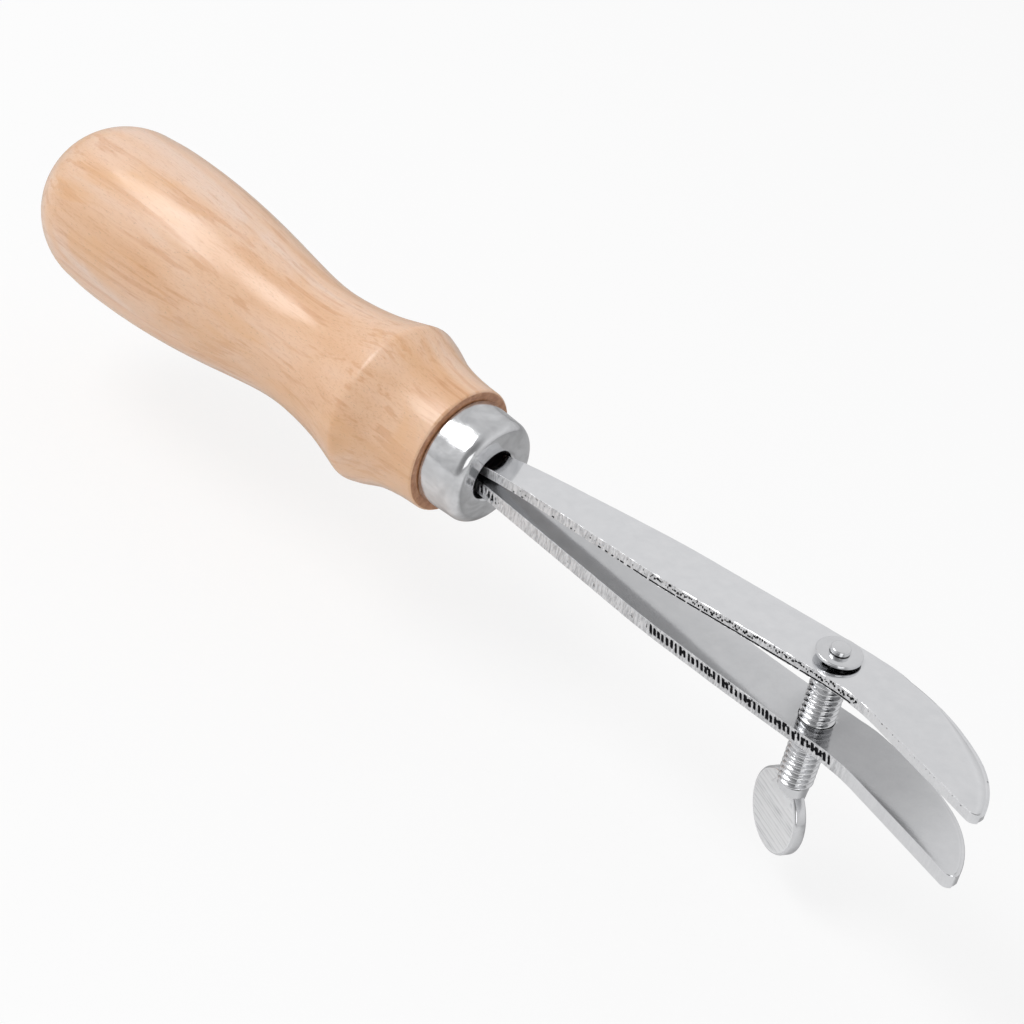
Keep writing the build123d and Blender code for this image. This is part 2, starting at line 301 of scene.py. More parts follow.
def plate_material(
    name, tone=0.80, rough=(0.08, 0.16), wave=0.05,
    crevice=2.0 * MM, deep=0.30, local=True, patchy=1.0,
):
    """Bright plate over polished steel: slight waves, fine rub marks, and painted shade darkening its
    crevices.

    Its arguments are the plate's grey, its range of roughness, the waves' bump, how wide and how dark
    the painted crevice shade is, whether only the piece's own faces count for it, and the grey of
    darker patches.
    """
    s = Shader(name)
    soft = s.noise(s.place, 95, 2, 0.5)
    cloud = s.noise(s.place, 420, 4, 0.6)
    rubs = s.noise(s.scaled((1.0, 11.0, 3.0), (0, 0, 24)), 620, 3, 0.7)
    bright = s.ramp(
        cloud,
        (0.30, (tone * 0.94, tone * 0.947, tone * 0.962)),
        (0.70, (tone, tone * 1.005, tone * 1.017)),
    )
    patches = s.noise(s.scaled((1.0, 1.0, 1.6)), 170, 3, 0.6, 0.8)
    bright = s.mix(1.0, bright, s.ramp(patches, (0.38, patchy), (0.60, 1.0)), "MULTIPLY")
    # painted shade: ambient occlusion darkens the plate's colour in its crevices
    dark = s.add("ShaderNodeAmbientOcclusion", samples=8, only_local=local)
    dark.inputs["Distance"].default_value = crevice
    crevice_shade = s.ramp(dark.outputs["AO"], (0.12, deep), (0.66, 1.0))
    s.set(
        Base_Color=s.mix(1.0, bright, crevice_shade, "MULTIPLY"),
        Metallic=1.0,
        Roughness=s.ramp(rubs, (0.35, rough[0]), (0.75, rough[1])),
    )
    s.bump((soft, wave, 1.0 * MM), (rubs, 0.02, 0.05 * MM), (cloud, 0.02, 0.1 * MM))
    return s


def leg_material():
    """Plate on the faces; the sheared edges are coarse, with painted shade colouring their torn pits
    almost black.
    """
    s = plate_material("leg_plate", 0.89, (0.09, 0.17), 0.035)
    edge = s.attribute("edge")
    tear = s.attribute("tear")
    grit = s.noise(s.scaled((1.0, 1.0, 0.22)), 2600, 4, 0.7)
    plain = s.bsdf.inputs["Base Color"].links[0].from_socket
    sheared = s.ramp(grit, (0.38, (0.42, 0.425, 0.435)), (0.60, (0.86, 0.86, 0.87)))
    sheared_and_shaded = s.mix(s.math("MULTIPLY", edge, 0.75), plain, sheared)
    # painted shade: the faces' colour darkens where the other leg is close
    gap = s.add("ShaderNodeAmbientOcclusion", samples=8)
    gap.inputs["Distance"].default_value = 22 * MM
    gap_shade = s.ramp(gap.outputs["AO"], (0.30, 0.74), (0.80, 1.0))
    sheared_and_shaded = s.mix(s.math("SUBTRACT", 1.0, edge), sheared_and_shaded, s.mix(1.0, sheared_and_shaded, gap_shade, "MULTIPLY"))
    # painted shade: the torn pits, and the seam on the thin leg, are coloured almost black
    ragged = s.noise(s.place, 1900, 4, 0.75)
    reach = s.math("MINIMUM", s.math("MULTIPLY", tear, 5.0), 1.5)
    frayed = s.math("ADD", tear, s.math("MULTIPLY", s.math("SUBTRACT", ragged, 0.5), reach))
    pits = s.ramp(frayed, (0.30, 0.0), (0.42, 1.0))
    # painted shade: a band darkens the inner face from 60 to 93 mm along, most beside the screw,
    # standing in for a darker reflection
    spot = s.add("ShaderNodeSeparateXYZ")
    s.feed(spot.inputs[0], s.place)
    decimetres = s.math("MULTIPLY", spot.outputs["X"], 10.0)
    band = s.ramp(decimetres, (0.60, 1.0), (0.69, 0.66), (0.82, 0.74), (0.93, 0.98))
    sheared_and_shaded = s.mix(s.attribute("inner"), sheared_and_shaded, s.mix(1.0, sheared_and_shaded, band, "MULTIPLY"))
    s.feed(s.bsdf.inputs["Base Color"], s.mix(pits, sheared_and_shaded, (0.012, 0.012, 0.014)))
    polish = s.bsdf.inputs["Roughness"].links[0].from_socket
    coarse = s.ramp(grit, (0.3, 0.24), (0.7, 0.42))
    s.feed(s.bsdf.inputs["Roughness"], s.mix(edge, polish, coarse))
    return s.material


def spade_material():
    """Plate over a coarse-ground spade; the thread above it stays bright."""
    # painted shade: within a millimetre of crevices and of other pieces the colour goes nearly black
    s = plate_material("screw_plate", 0.82, (0.10, 0.20), 0.05, 1.0 * MM, 0.03, False)
    ground = s.attribute("ground")
    polish = s.bsdf.inputs["Roughness"].links[0].from_socket
    s.feed(s.bsdf.inputs["Roughness"], s.mix(ground, polish, (0.46, 0.46, 0.46)))
    plain = s.bsdf.inputs["Base Color"].links[0].from_socket
    cut = s.ramp(s.attribute("groove"), (0.05, (0.93, 0.935, 0.94)), (0.60, (0.66, 0.665, 0.675)))
    s.feed(s.bsdf.inputs["Base Color"], s.mix(ground, plain, cut))
    s.feed(s.bsdf.inputs["Metallic"], s.math("SUBTRACT", 1.0, s.math("MULTIPLY", ground, 0.45)))
    return s.material


# ---------------------------------------------------------------- ferrule
def build_ferrule(material):
    """Pressed cup with a rounded front corner, a rolled-in mouth, a slight flare and small dents."""
    wall = 1.0 * MM
    corner = 1.8 * MM
    mouth_r = 4.2 * MM
    lip = 0.8 * MM
    lip_depth = 1.6 * MM
    rim = 0.14 * MM
    flare = 0.40 * MM
    back, front = ferrule_low.x, ferrule_high.x
    outer, inner = FERRULE_R, FERRULE_R - wall
    profile = arc((back + rim, outer - rim), rim, 180, 90, 4)[:-1]
    profile += straight((back + rim, outer), (front - corner, outer), 40)
    profile += arc((front - corner, outer - corner), corner, 90, 0, 18)[:-1]
    profile += straight((front, outer - corner), (front, mouth_r + lip), 8)
    profile += arc((front - lip, mouth_r + lip), lip, 0, -90, 12)[:-1]
    profile += straight((front - lip, mouth_r), (front - lip_depth, mouth_r), 3)
    profile += straight((front - lip_depth, mouth_r), (front - lip_depth, mouth_r + wall), 3)
    profile += straight((front - lip_depth, mouth_r + wall), (front - wall, mouth_r + wall), 2)
    profile += straight((front - wall, mouth_r + wall), (front - wall, inner), 6)
    profile += straight((front - wall, inner), (back, inner), 12)
    segments = 220
    points = []
    for x, r in profile:
        outside = bump_step(r, inner, outer)
        r += flare * max(0.0, 1 - (x - back) / (front - back)) ** 1.4
        for j in range(segments):
            a = tau * j / segments
            broad = noise.noise(Vector((x * 210, cos(a) * 2.1, sin(a) * 2.1)))
            small = noise.noise(Vector((x * 520, cos(a) * 4.6, sin(a) * 4.6)))
            dent = outside * (0.060 * MM * (broad - 0.5) + 0.022 * MM * (small - 0.5))
            radius = r + min(0.0, dent)
            points.append((x, radius * cos(a), radius * sin(a)))
    piece = new_piece("ferrule_shell", points, ring_faces(len(profile), segments, True))
    finish_piece(piece, "grip", material, ["ferrule"])


# ---------------------------------------------------------------- legs
SHEAR_START_X, SHEAR_END_X = 37.5 * MM, 72.3 * MM  # the badly torn stretch of the edges
FAINT_START_X = 6.0 * MM  # the first faint tears
TOE_FLAT_X = 73.0 * MM  # from here to the tip the leg is flat
FAN_X = 76.0 * MM  # the toe's outline is read from a point here
FIRST_X_IN = 1.0 * MM  # how far past its root a leg is first read
PROBE_STEPS = 160
EDGE_STEP, TORN_STEP = 0.14 * MM, 0.09 * MM
TOE_COLUMNS, TOE_CROWDING = 220, 1.7
FIRST_TOOTH_X = -6.0 * MM  # inside the ferrule, so that the rows start out of sight
GROUND_START_X, GROUND_FULL_X = 78 * MM, 92 * MM  # where the ground band begins and is full width
GROUND_FALL = 0.30  # how deep the ground band is, as a share of its width


def read_leg(node):
    """Reads the CAD leg: its top and bottom as functions of x, and points along its two edges."""
    tree = BVHTree.FromObject(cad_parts[node], bpy.context.evaluated_depsgraph_get())
    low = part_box(node)[0]
    outside = 100 * MM

    def hit(start, direction):
        return tree.ray_cast(Vector(start), Vector(direction).normalized())[0]

    def height(x, y, side):
        return hit((x, y, outside * side), (0, 0, -side)).z

    def table(side):
        places = [
            low.x + FIRST_X_IN + (TOE_FLAT_X - low.x) * i / PROBE_STEPS for i in range(PROBE_STEPS + 1)
        ]
        # the probes keep off the axis, where the screw's hole is
        values = [height(x, -1.6 * MM if x < 55 * MM else -3.8 * MM, side) for x in places]
        flat_a, flat_b = 77 * MM, 90 * MM
        z_a, z_b = height(flat_a, -2 * MM, side), height(flat_b, -4 * MM, side)

        def read(x):
            if x > places[-1]:
                return z_a + (z_b - z_a) * (x - flat_a) / (flat_b - flat_a)
            i = max(0, min(PROBE_STEPS - 1, int((x - places[0]) / (places[1] - places[0]))))
            t = (x - places[i]) / (places[i + 1] - places[i])
            return values[i] + (values[i + 1] - values[i]) * t

        return read

    top, bottom = table(1), table(-1)

    def edge_at(x, side):
        z = (top(x) + bottom(x)) / 2
        place = hit((x, outside * side, z), (0, -side, 0))
        return Vector((x, place.y, 0))

    # the toe is read by a fan of rays from a point inside it, because its tip is blunt
    slope = (top(90 * MM) - top(80 * MM)) / (10 * MM)
    centre = Vector((FAN_X, 0, (top(FAN_X) + bottom(FAN_X)) / 2))
    level_centre = Vector((FAN_X, 0, 0))

    def fan(angle):
        a = radians(angle)
        direction = Vector((cos(a), sin(a), slope * cos(a)))
        place = hit(centre + direction.normalized() * (2 * outside), -direction)
        return Vector((place.x, place.y, 0))

    # the tip is the outline's farthest point, and parts the near edge from the far one
    tip = max((-15 - 0.1 * i for i in range(250)), key=lambda a: (fan(a) - level_centre).length)
    rays = 700
    near = [fan(-90 + (90 + tip) * i / rays) for i in range(rays + 1)]
    far = [fan(90 - (90 - tip) * i / rays) for i in range(rays + 1)]
    return top, bottom, edge_at, near, far


def spaced(line, count, crowding):
    """Points along a polyline, crowded towards its end."""
    lengths = [0.0]
    for a, b in zip(line, line[1:]):
        lengths.append(lengths[-1] + (b - a).length)
    points, i = [], 0
    for k in range(1, count + 1):
        want = lengths[-1] * (1 - (1 - k / count) ** crowding)
        while i < len(lengths) - 2 and lengths[i + 1] < want:
            i += 1
        span = max(1e-9, lengths[i + 1] - lengths[i])
        points.append(line[i].lerp(line[i + 1], min(1.0, (want - lengths[i]) / span)))
    return points


def edge_lines(node):
    """Matching points of the near and far edges, root to tip, with the leg's top and bottom."""
    top, bottom, edge_at, near_toe, far_toe = read_leg(node)
    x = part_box(node)[0].x + FIRST_X_IN
    near, far = [], []
    while x < FAN_X:
        near.append(edge_at(x, -1))
        far.append(edge_at(x, 1))
        torn = SHEAR_START_X - 1 * MM < x < SHEAR_END_X + 1 * MM
        x += TORN_STEP if torn else EDGE_STEP
    near += spaced(near_toe, TOE_COLUMNS, TOE_CROWDING)[:-1]
    far += spaced(far_toe, TOE_COLUMNS, TOE_CROWDING)[:-1]
    return top, bottom, near, far


def outward(line, i, side):
    """Level unit normal of an edge line, pointing out of the leg."""
    a, b = line[max(0, i - 1)], line[min(len(line) - 1, i + 1)]
    along = (b - a).normalized()
    return Vector((along.y, -along.x, 0)) * -side


def coarse_teeth(random, faint):
    """Torn dashes of the thick leg: (x at mid-height, half width, low share, high share, depth)."""
    teeth = []
    x = FIRST_TOOTH_X
    while x < SHEAR_END_X:
        torn = x > SHEAR_START_X
        strength = random.uniform(0.72, 1.0) if torn else random.uniform(0.0, 0.30)
        if 0 < x < 4 * MM:
            strength = random.uniform(0.3, 0.8)
        width = random.uniform(0.26, 0.40) * MM
        low, high = random.uniform(0.14, 0.30), random.uniform(0.80, 0.97)
        teeth.append((x, width, low, high, strength * faint))
        if random.random() < 0.35:
            chip = random.uniform(0.2, 0.7)
            teeth.append((x + 0.42 * MM, 0.20 * MM, chip, chip + 0.26, strength * faint * 0.9))
        x += random.uniform(0.70, 0.94) * MM
    return teeth


def fine_teeth(random, faint):
    """Torn flecks of the thin leg, over a seam that runs along its lower side."""
    teeth = []
    x = FIRST_TOOTH_X
    while x < SHEAR_END_X + 1 * MM:
        torn = 0.40 + 0.60 * bump_step(x, SHEAR_START_X - 8 * MM, SHEAR_START_X + 4 * MM)
        strength = random.uniform(0.35, 1.0) * torn if x > FAINT_START_X else random.uniform(0.0, 0.3)
        low = random.uniform(0.28, 0.66)
        width = random.uniform(0.12, 0.30) * MM
        teeth.append((x, width, low, low + random.uniform(0.16, 0.36), strength * faint))
        x += random.uniform(0.24, 0.46) * MM
    while x < TOE_X - 3 * MM:
        low = random.uniform(0.55, 0.80)
        strength = random.uniform(0.15, 0.55) * faint
        width = random.uniform(0.09, 0.18) * MM
        teeth.append((x, width, low, low + random.uniform(0.1, 0.2), strength))
        x += random.uniform(0.4, 1.1) * MM
    return teeth


def tear_depth(teeth, x, share, lean, seam):
    """Depth from 0 to 1 of the torn pits at x, at this share of the way up the edge."""
    depth = 0.0
    slanted = x + lean * (share - 0.5)
    for centre, width, low, high, strength in teeth:
        along = abs(slanted - centre) / width
        if along < 1 and low < share < high:
            up = min(share - low, high - share) / (0.2 * (high - low))
            depth = max(depth, strength * (1 - along ** 3) * min(1.0, up))
    if seam and FAINT_START_X < x < SHEAR_END_X:
        wander = 0.14 + 0.03 * noise.noise(Vector((x * 900, 0, 7)))
        gap = abs(share - wander) / 0.085
        kept = 0.60 * bump_step(x, SHEAR_START_X - 14 * MM, SHEAR_START_X + 3 * MM) - 0.18
        if gap < 1 and noise.noise(Vector((x * 1500, 3, 0))) > -kept:
            depth = max(depth, 0.95 * (1 - gap ** 3))
    return depth


# shares of the way up an edge, and across a face, at which a leg's cross-section has its points
EDGE_SHARES = [0.0, 0.035, 0.08, 0.12, 0.16, 0.20, 0.25, 0.31, 0.37, 0.44, 0.51, 0.58]
EDGE_SHARES += [0.64, 0.70, 0.76, 0.81, 0.86, 0.91, 0.955, 1.0]
FACE_SHARES = [0.0, 0.012, 0.05, 0.12, 0.22, 0.34, 0.46, 0.58, 0.69, 0.78, 0.84, 0.88, 0.91]
FACE_SHARES += [0.935, 0.955, 0.97, 0.985, 1.0]


def build_leg(name, node, teeth_kind, pit, lean, seam, ground_width, hole, material):
    """A sheared strip, its outline and bow read off the CAD leg, with torn pits along its edges.

    The pits are made by teeth_kind, as deep as pit and sheared over by lean from bottom to top. The
    seam is a torn line low on the edge, and ground_width is the ground band's width at the toe.
    """
    top, bottom, near, far = edge_lines(node)
    random = Random(name)
    teeth = {-1: teeth_kind(random, 1.0), 1: teeth_kind(random, 0.9)}
    points, edge_values, tear_values, inner_values = [], [], [], []
    inner_share = 0.0 if top(SCREW_X) > 5 * MM else 1.0

    def column(line, i, side):
        """Points up one edge, as (plan place, share of height, torn depth)."""
        place, normal = line[i], outward(line, i, side)
        thick = top(place.x) - bottom(place.x)
        past_bend = bump_step(place.x, TOE_FLAT_X, TOE_FLAT_X + 3 * MM)
        crisp = 0.07 * MM * (1 + 0.5 * (1 - past_bend) * noise.noise(place * 700))
        soft = crisp + 0.45 * MM * (past_bend if side > 0 else 0.0)
        rough = 0.03 * MM * (1 - past_bend) * bump_step(place.x, SHEAR_START_X - 6 * MM, SHEAR_START_X)
        result = []
        for share in EDGE_SHARES:
            lift = min(share, 1 - share) * thick
            inset = 0.0
            if lift < soft:
                inset = soft - sqrt(max(0.0, soft ** 2 - (soft - lift) ** 2))
            depth = tear_depth(teeth[side], place.x, share, lean, seam)
            grain = abs(noise.noise(Vector((place.x * 3000, share * 2.6, side * 5.0))))
            moved = place - normal * (inset + depth * pit + grain * rough)
            result.append((moved, share, depth))
        return result

    def ground_top(place, gap):
        """Top of the toe, ground away in a band along the working edge, a gap away from it."""
        band = ground_width * bump_step(place.x, GROUND_START_X, GROUND_FULL_X)
        if band < 0.01 * MM:
            return top(place.x)
        return top(place.x) - GROUND_FALL * band * max(0.0, 1 - gap / band) ** 1.6

    def add(place, share, depth, edge, gap=1.0):
        z = bottom(place.x) + (top(place.x) - bottom(place.x)) * share
        points.append((place.x, place.y, min(z, ground_top(place, gap))))
        edge_values.append(edge * (1 - 0.85 * bump_step(place.x, TOE_FLAT_X, TOE_FLAT_X + 4 * MM)))
        tear_values.append(depth)
        inner_values.append(float(share == inner_share))

    for i in range(len(near)):
        near_column, far_column = column(near, i, -1), column(far, i, 1)
        for place, share, depth in near_column:
            add(place, share, depth, 1.0 if 0.02 < share < 0.98 else 0.0)
        start, end = near_column[-1][0], far_column[-1][0]
        width = (end - start).length
        for t in FACE_SHARES[1:-1]:
            add(start.lerp(end, t), 1.0, 0.0, 0.0, (1 - t) * width)
        for place, share, depth in reversed(far_column):
            add(place, share, depth, 1.0 if 0.02 < share < 0.98 else 0.0, 0.0)
        start, end = far_column[0][0], near_column[0][0]
        for t in FACE_SHARES[1:-1]:
            add(start.lerp(end, t), 0.0, 0.0, 0.0)
    per_ring = 2 * (len(EDGE_SHARES) + len(FACE_SHARES) - 2)
    faces = ring_faces(len(near), per_ring, False)
    faces.append(tuple(range(per_ring - 1, -1, -1)))
    faces.append(tuple(range((len(near) - 1) * per_ring, len(near) * per_ring)))
    piece = new_piece(name, points, faces, 32)
    set_attribute(piece, "edge", edge_values)
    set_attribute(piece, "tear", tear_values)
    set_attribute(piece, "inner", inner_values)
    join_meshes(piece, [hole], "DIFFERENCE")
    smooth(piece.data, 32)
    # a leg's body has the same name as its node
    finish_piece(piece, node, material, [node])


def stadium(name, x, length, width, low, high):
    """Closed prism with round ends, along X, used to cut a slot or a round hole."""
    r = width / 2
    half = length / 2 - r
    steps = 40
    if half < 0.001 * MM:
        turns = [tau * i / (2 * steps) for i in range(2 * steps)]
        outline = [(x + r * cos(a), r * sin(a)) for a in turns]
    else:
        outline = []
        for end, start in ((half, -90), (-half, 90)):
            turns = [radians(start + 180 * i / steps) for i in range(steps + 1)]
            outline += [(x + end + r * cos(a), r * sin(a)) for a in turns]
    count = len(outline)
    points = [(u, v, low) for u, v in outline] + [(u, v, high) for u, v in outline]
    faces = [(i, (i + 1) % count, count + (i + 1) % count, count + i) for i in range(count)]
    faces.append(tuple(range(count - 1, -1, -1)))
    faces.append(tuple(range(count, 2 * count)))
    return new_piece(name, points, faces)


# ---------------------------------------------------------------- thumb screw
SPADE_ANGLE = radians(-117)
SPADE_FACING = Vector((cos(SPADE_ANGLE), sin(SPADE_ANGLE), 0))
SPADE_ACROSS = Vector((-sin(SPADE_ANGLE), cos(SPADE_ANGLE), 0))
SPADE_R = 6.7 * MM
SPADE_T = 2.05 * MM
SPADE_OFFSET = -1.15 * MM
GROOVE_DEPTH = 0.06 * MM
THREAD_R = 2.75 * MM
THREAD_PITCH = 1.0 * MM
THREAD_DEPTH = 0.5 * MM
THREAD_TOP = 7.85 * MM
THREAD_BOTTOM = -14.0 * MM
NECK_R = 1.2 * MM
RIVET_R = 1.5 * MM
RIVET_ROUND = 0.20 * MM
RIVET_RISE = 0.30 * MM  # how far the peened end stands above the CAD screw
SCREW_DROP = 6.0 * MM  # how far the screw goes down from rest as it closes the legs


def thread_height(phase):
    """Rolled thread: round crests and narrower round roots, 0 to 1 over one pitch."""
    wave = 0.5 + 0.5 * cos(tau * phase)
    return wave ** 0.8


def build_thread():
    """Rod with a rolled thread, a reduced neck, and a peened end above the washer."""
    segments = 96
    z, rows = THREAD_BOTTOM - 0.5 * MM, []
    while z < THREAD_TOP - 0.5 * MM:
        rows.append((z, None))
        z += 0.07 * MM
    under = washer_high.z + 0.06 * MM
    head_top = screw_high.z + RIVET_RISE
    chamfer = 0.08 * MM
    hair = 0.01 * MM
    rows += [(THREAD_TOP - 0.5 * MM, 2.45 * MM), (THREAD_TOP - 0.1 * MM, 2.1 * MM)]
    rows += [(THREAD_TOP, 1.9 * MM), (THREAD_TOP + hair, NECK_R)]
    rows += [(under - hair, NECK_R), (under, RIVET_R - chamfer), (under + chamfer, RIVET_R)]
    for i in range(7):
        a = radians(90 * i / 6)
        rows.append((head_top - RIVET_ROUND * (1 - sin(a)), RIVET_R - RIVET_ROUND * (1 - cos(a))))
    points = []
    for z, radius in rows:
        for j in range(segments):
            a = tau * j / segments
            r = radius
            if r is None:
                phase = (z / THREAD_PITCH) - a / tau
                fade = bump_step(z, THREAD_BOTTOM, THREAD_BOTTOM + 1.0 * MM)
                fade *= 1 - bump_step(z, THREAD_TOP - 1.1 * MM, THREAD_TOP - 0.5 * MM)
                root = THREAD_R - THREAD_DEPTH
                height = thread_height(phase) * fade + 0.35 * (1 - fade)
                r = root + THREAD_DEPTH * height
            points.append((SCREW_X + r * cos(a), r * sin(a), z))
    faces = ring_faces(len(rows), segments, False)
    centre = len(points)
    points.append((SCREW_X, 0, head_top))
    last = (len(rows) - 1) * segments
    faces += [(last + j, last + (j + 1) % segments, centre) for j in range(segments)]
    faces.append(tuple(range(segments - 1, -1, -1)))
    return new_piece("thumb_screw_body", points, faces, 50)


def build_neck():
    """Forged run from the round rod to the flat spade."""
    segments = 72
    sections = 30
    top_z = THREAD_BOTTOM + 0.4 * MM
    end_z = THREAD_BOTTOM - 5.0 * MM
    rod, blade_across, blade_through = 2.4, 3.9, 0.85
    points = []
    for i in range(sections + 1):
        t = i / sections
        ease = t * t * (3 - 2 * t)
        z = top_z + (end_z - top_z) * t
        half_w = (rod + (blade_across - rod) * ease) * MM
        half_t = (rod + (blade_through - rod) * ease) * MM
        power = 2 + 2.2 * ease
        for j in range(segments):
            a = tau * j / segments
            c, n = cos(a), sin(a)
            u = half_w * abs(c) ** (2 / power) * (1 if c >= 0 else -1)
            v = half_t * abs(n) ** (2 / power) * (1 if n >= 0 else -1)
            place = SPADE_ACROSS * (u + SPADE_OFFSET * ease) + SPADE_FACING * v
            points.append((SCREW_X + place.x, place.y, z))
    faces = ring_faces(sections + 1, segments, False)
    faces = [tuple(reversed(f)) for f in faces]
    faces.append(tuple(range(segments)))
    faces.append(tuple(range((sections + 1) * segments - 1, sections * segments - 1, -1)))
    return new_piece("neck", points, faces, 50)


def build_spade(centre_z, random):
    """Flat round spade with a rounded rim; both faces carry coarse grinding lines across them."""
    segments, rings = 240, 40
    edge = 0.42 * MM
    lines = []
    place = -1.1
    while place < 1.1:
        lines.append((place, random.uniform(0.018, 0.045), random.uniform(0.35, 1.0)))
        place += random.uniform(0.05, 0.14)

    def groove(u, w, side):
        lean = radians(-5 if side > 0 else 6)
        across = u * sin(lean) + w * cos(lean)
        along = u * cos(lean) - w * sin(lean)
        depth = 0.0
        for centre, width, strength in lines:
            drift = centre + 0.012 * noise.noise(Vector((along * 2.5, centre * 9, side)))
            gap = abs(across - drift) / width
            if gap < 1:
                patchy = 0.55 + 0.45 * noise.noise(Vector((along * 3.1, centre * 23, 4 + side)))
                depth = max(depth, strength * patchy * (1 - gap * gap))
        return depth

    def rim_row(angle, side):
        a = radians(angle)
        return SPADE_R - edge + edge * sin(a), side * (half - edge + edge * cos(a)), 0

    # each row is a circle: (its radius, its height off the spade's middle, which ground face or 0)
    half = SPADE_T / 2
    radii = [i / rings * (SPADE_R - edge) for i in range(1, rings + 1)]
    rim_angles = (22, 45, 68, 90)
    rows = [(r, half, 1) for r in radii]
    rows += [rim_row(angle, 1) for angle in rim_angles]
    rows.append((SPADE_R, 0.0, 0))
    rows += [rim_row(angle, -1) for angle in reversed(rim_angles)]
    rows += [(r, -half, -1) for r in reversed(radii)]
    points = []
    for r, v, side in rows:
        for j in range(segments):
            a = tau * j / segments
            u, w = r * cos(a), r * sin(a)
            cut = 0.0
            if side:
                rim = bump_step(SPADE_R - edge - r, -0.1 * MM, 0.3 * MM)
                cut = groove(u / SPADE_R, w / SPADE_R, side) * rim
            depth = v - side * GROOVE_DEPTH * cut
            spot = SPADE_ACROSS * (u + SPADE_OFFSET) + SPADE_FACING * depth
            points.append((SCREW_X + spot.x, spot.y, centre_z + w))
    faces = ring_faces(len(rows), segments, False)
    faces = [tuple(reversed(f)) for f in faces]
    for first, side in ((0, 1), ((len(rows) - 1) * segments, -1)):
        centre = len(points)
        spot = SPADE_ACROSS * SPADE_OFFSET + SPADE_FACING * half * side
        points.append((SCREW_X + spot.x, spot.y, centre_z))
        for j in range(segments):
            pair = (first + j, first + (j + 1) % segments)
            faces.append((pair[1], pair[0], centre) if side < 0 else (pair[0], pair[1], centre))
    return new_piece("spade", points, faces, 50)


def mark_ground_faces(piece, centre_z):
    """Marks the spade's ground faces, and how deep their grooves are, from the finished shape."""
    ground, grooves = [], []
    centre = Vector((SCREW_X, 0, centre_z)) + SPADE_ACROSS * SPADE_OFFSET
    for vertex in piece.data.vertices:
        out = abs((vertex.co - centre).dot(SPADE_FACING))
        sunk = SPADE_T / 2 - out
        near = (vertex.co - centre).length < SPADE_R - 0.30 * MM
        flat = near and sunk < 1.1 * GROOVE_DEPTH
        ground.append(float(flat))
        grooves.append(min(1.0, max(0.0, sunk / GROOVE_DEPTH)) if flat else 0.0)
    set_attribute(piece, "ground", ground)
    set_attribute(piece, "groove", grooves)


def build_thumb_screw(material):
    """Thread, forged neck and ground spade, joined into one closed body."""
    random = Random(7)
    centre_z = screw_low.z + SPADE_R
    spade = build_spade(centre_z, random)
    body = build_thread()
    join_meshes(body, [build_neck(), spade], "UNION")
    mark_ground_faces(body, centre_z)
    smooth(body.data, 42)
    finish_piece(body, "thumb_screw", material, ["thumb_screw"])


# ---------------------------------------------------------------- captive washer
def build_washer(material):
    """Stamped washer: one rim rounded by the punch, the other a small burr, slightly dished."""
    low, high = washer_low.z, washer_high.z
    outer, bore = (washer_high.x - washer_low.x) / 2, 1.26 * MM
    soft, burr = 0.16 * MM, 0.06 * MM
    profile = arc((outer - soft, high - soft), soft, 0, 90, 6)
    profile += [(outer - 0.9 * MM, high), (bore + 0.5 * MM, high - 0.015 * MM)]
    profile += arc((bore + burr, high - burr), burr, 90, 180, 3)
    profile += [(bore, (low + high) / 2), (bore, low)]
    profile += [(bore + 0.9 * MM, low), (outer - burr, low), (outer, low + burr)]
    segments = 140
    points = []
    for r, z in profile:
        for j in range(segments):
            a = tau * j / segments
            points.append((SCREW_X + r * cos(a), r * sin(a), z))
    faces = [tuple(reversed(f)) for f in ring_faces(len(profile), segments, True)]
    piece = new_piece("captive_washer_disc", points, faces, 38)
    finish_piece(piece, "captive_washer", material, ["captive_washer"])


# ---------------------------------------------------------------- build
wood = wood_material()
ferrule_plate = plate_material("ferrule_plate", 0.82, (0.10, 0.26), 0.30, patchy=0.80).material
leg_plate = leg_material()
screw_plate = spade_material()
tang_steel = plate_material("tang_steel", 0.52, (0.30, 0.45), 0.05).material

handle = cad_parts["handle"]
handle.data.materials.clear()
handle.data.materials.append(wood)
for tang in ("upper_tang", "lower_tang"):
    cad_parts[tang].data.materials.clear()
    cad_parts[tang].data.materials.append(tang_steel)

build_ferrule(ferrule_plate)
slot_cutter = stadium("slot", SCREW_X + 0.1 * MM, 4.8 * MM, 2.8 * MM, 5 * MM, 13 * MM)
bore_cutter = stadium("bore", SCREW_X, 5.7 * MM, 5.7 * MM, -6 * MM, 1 * MM)
build_leg(
    "upper_leg_strip", "upper_leg", fine_teeth, pit=0.10 * MM, lean=0.2 * MM, seam=True,
    ground_width=1.7 * MM, hole=slot_cutter, material=leg_plate,
)
build_leg(
    "lower_leg_strip", "lower_leg", coarse_teeth, pit=0.20 * MM, lean=0.7 * MM, seam=False,
    ground_width=0.5 * MM, hole=bore_cutter, material=leg_plate,
)
build_thumb_screw(screw_plate)
build_washer(screw_plate)


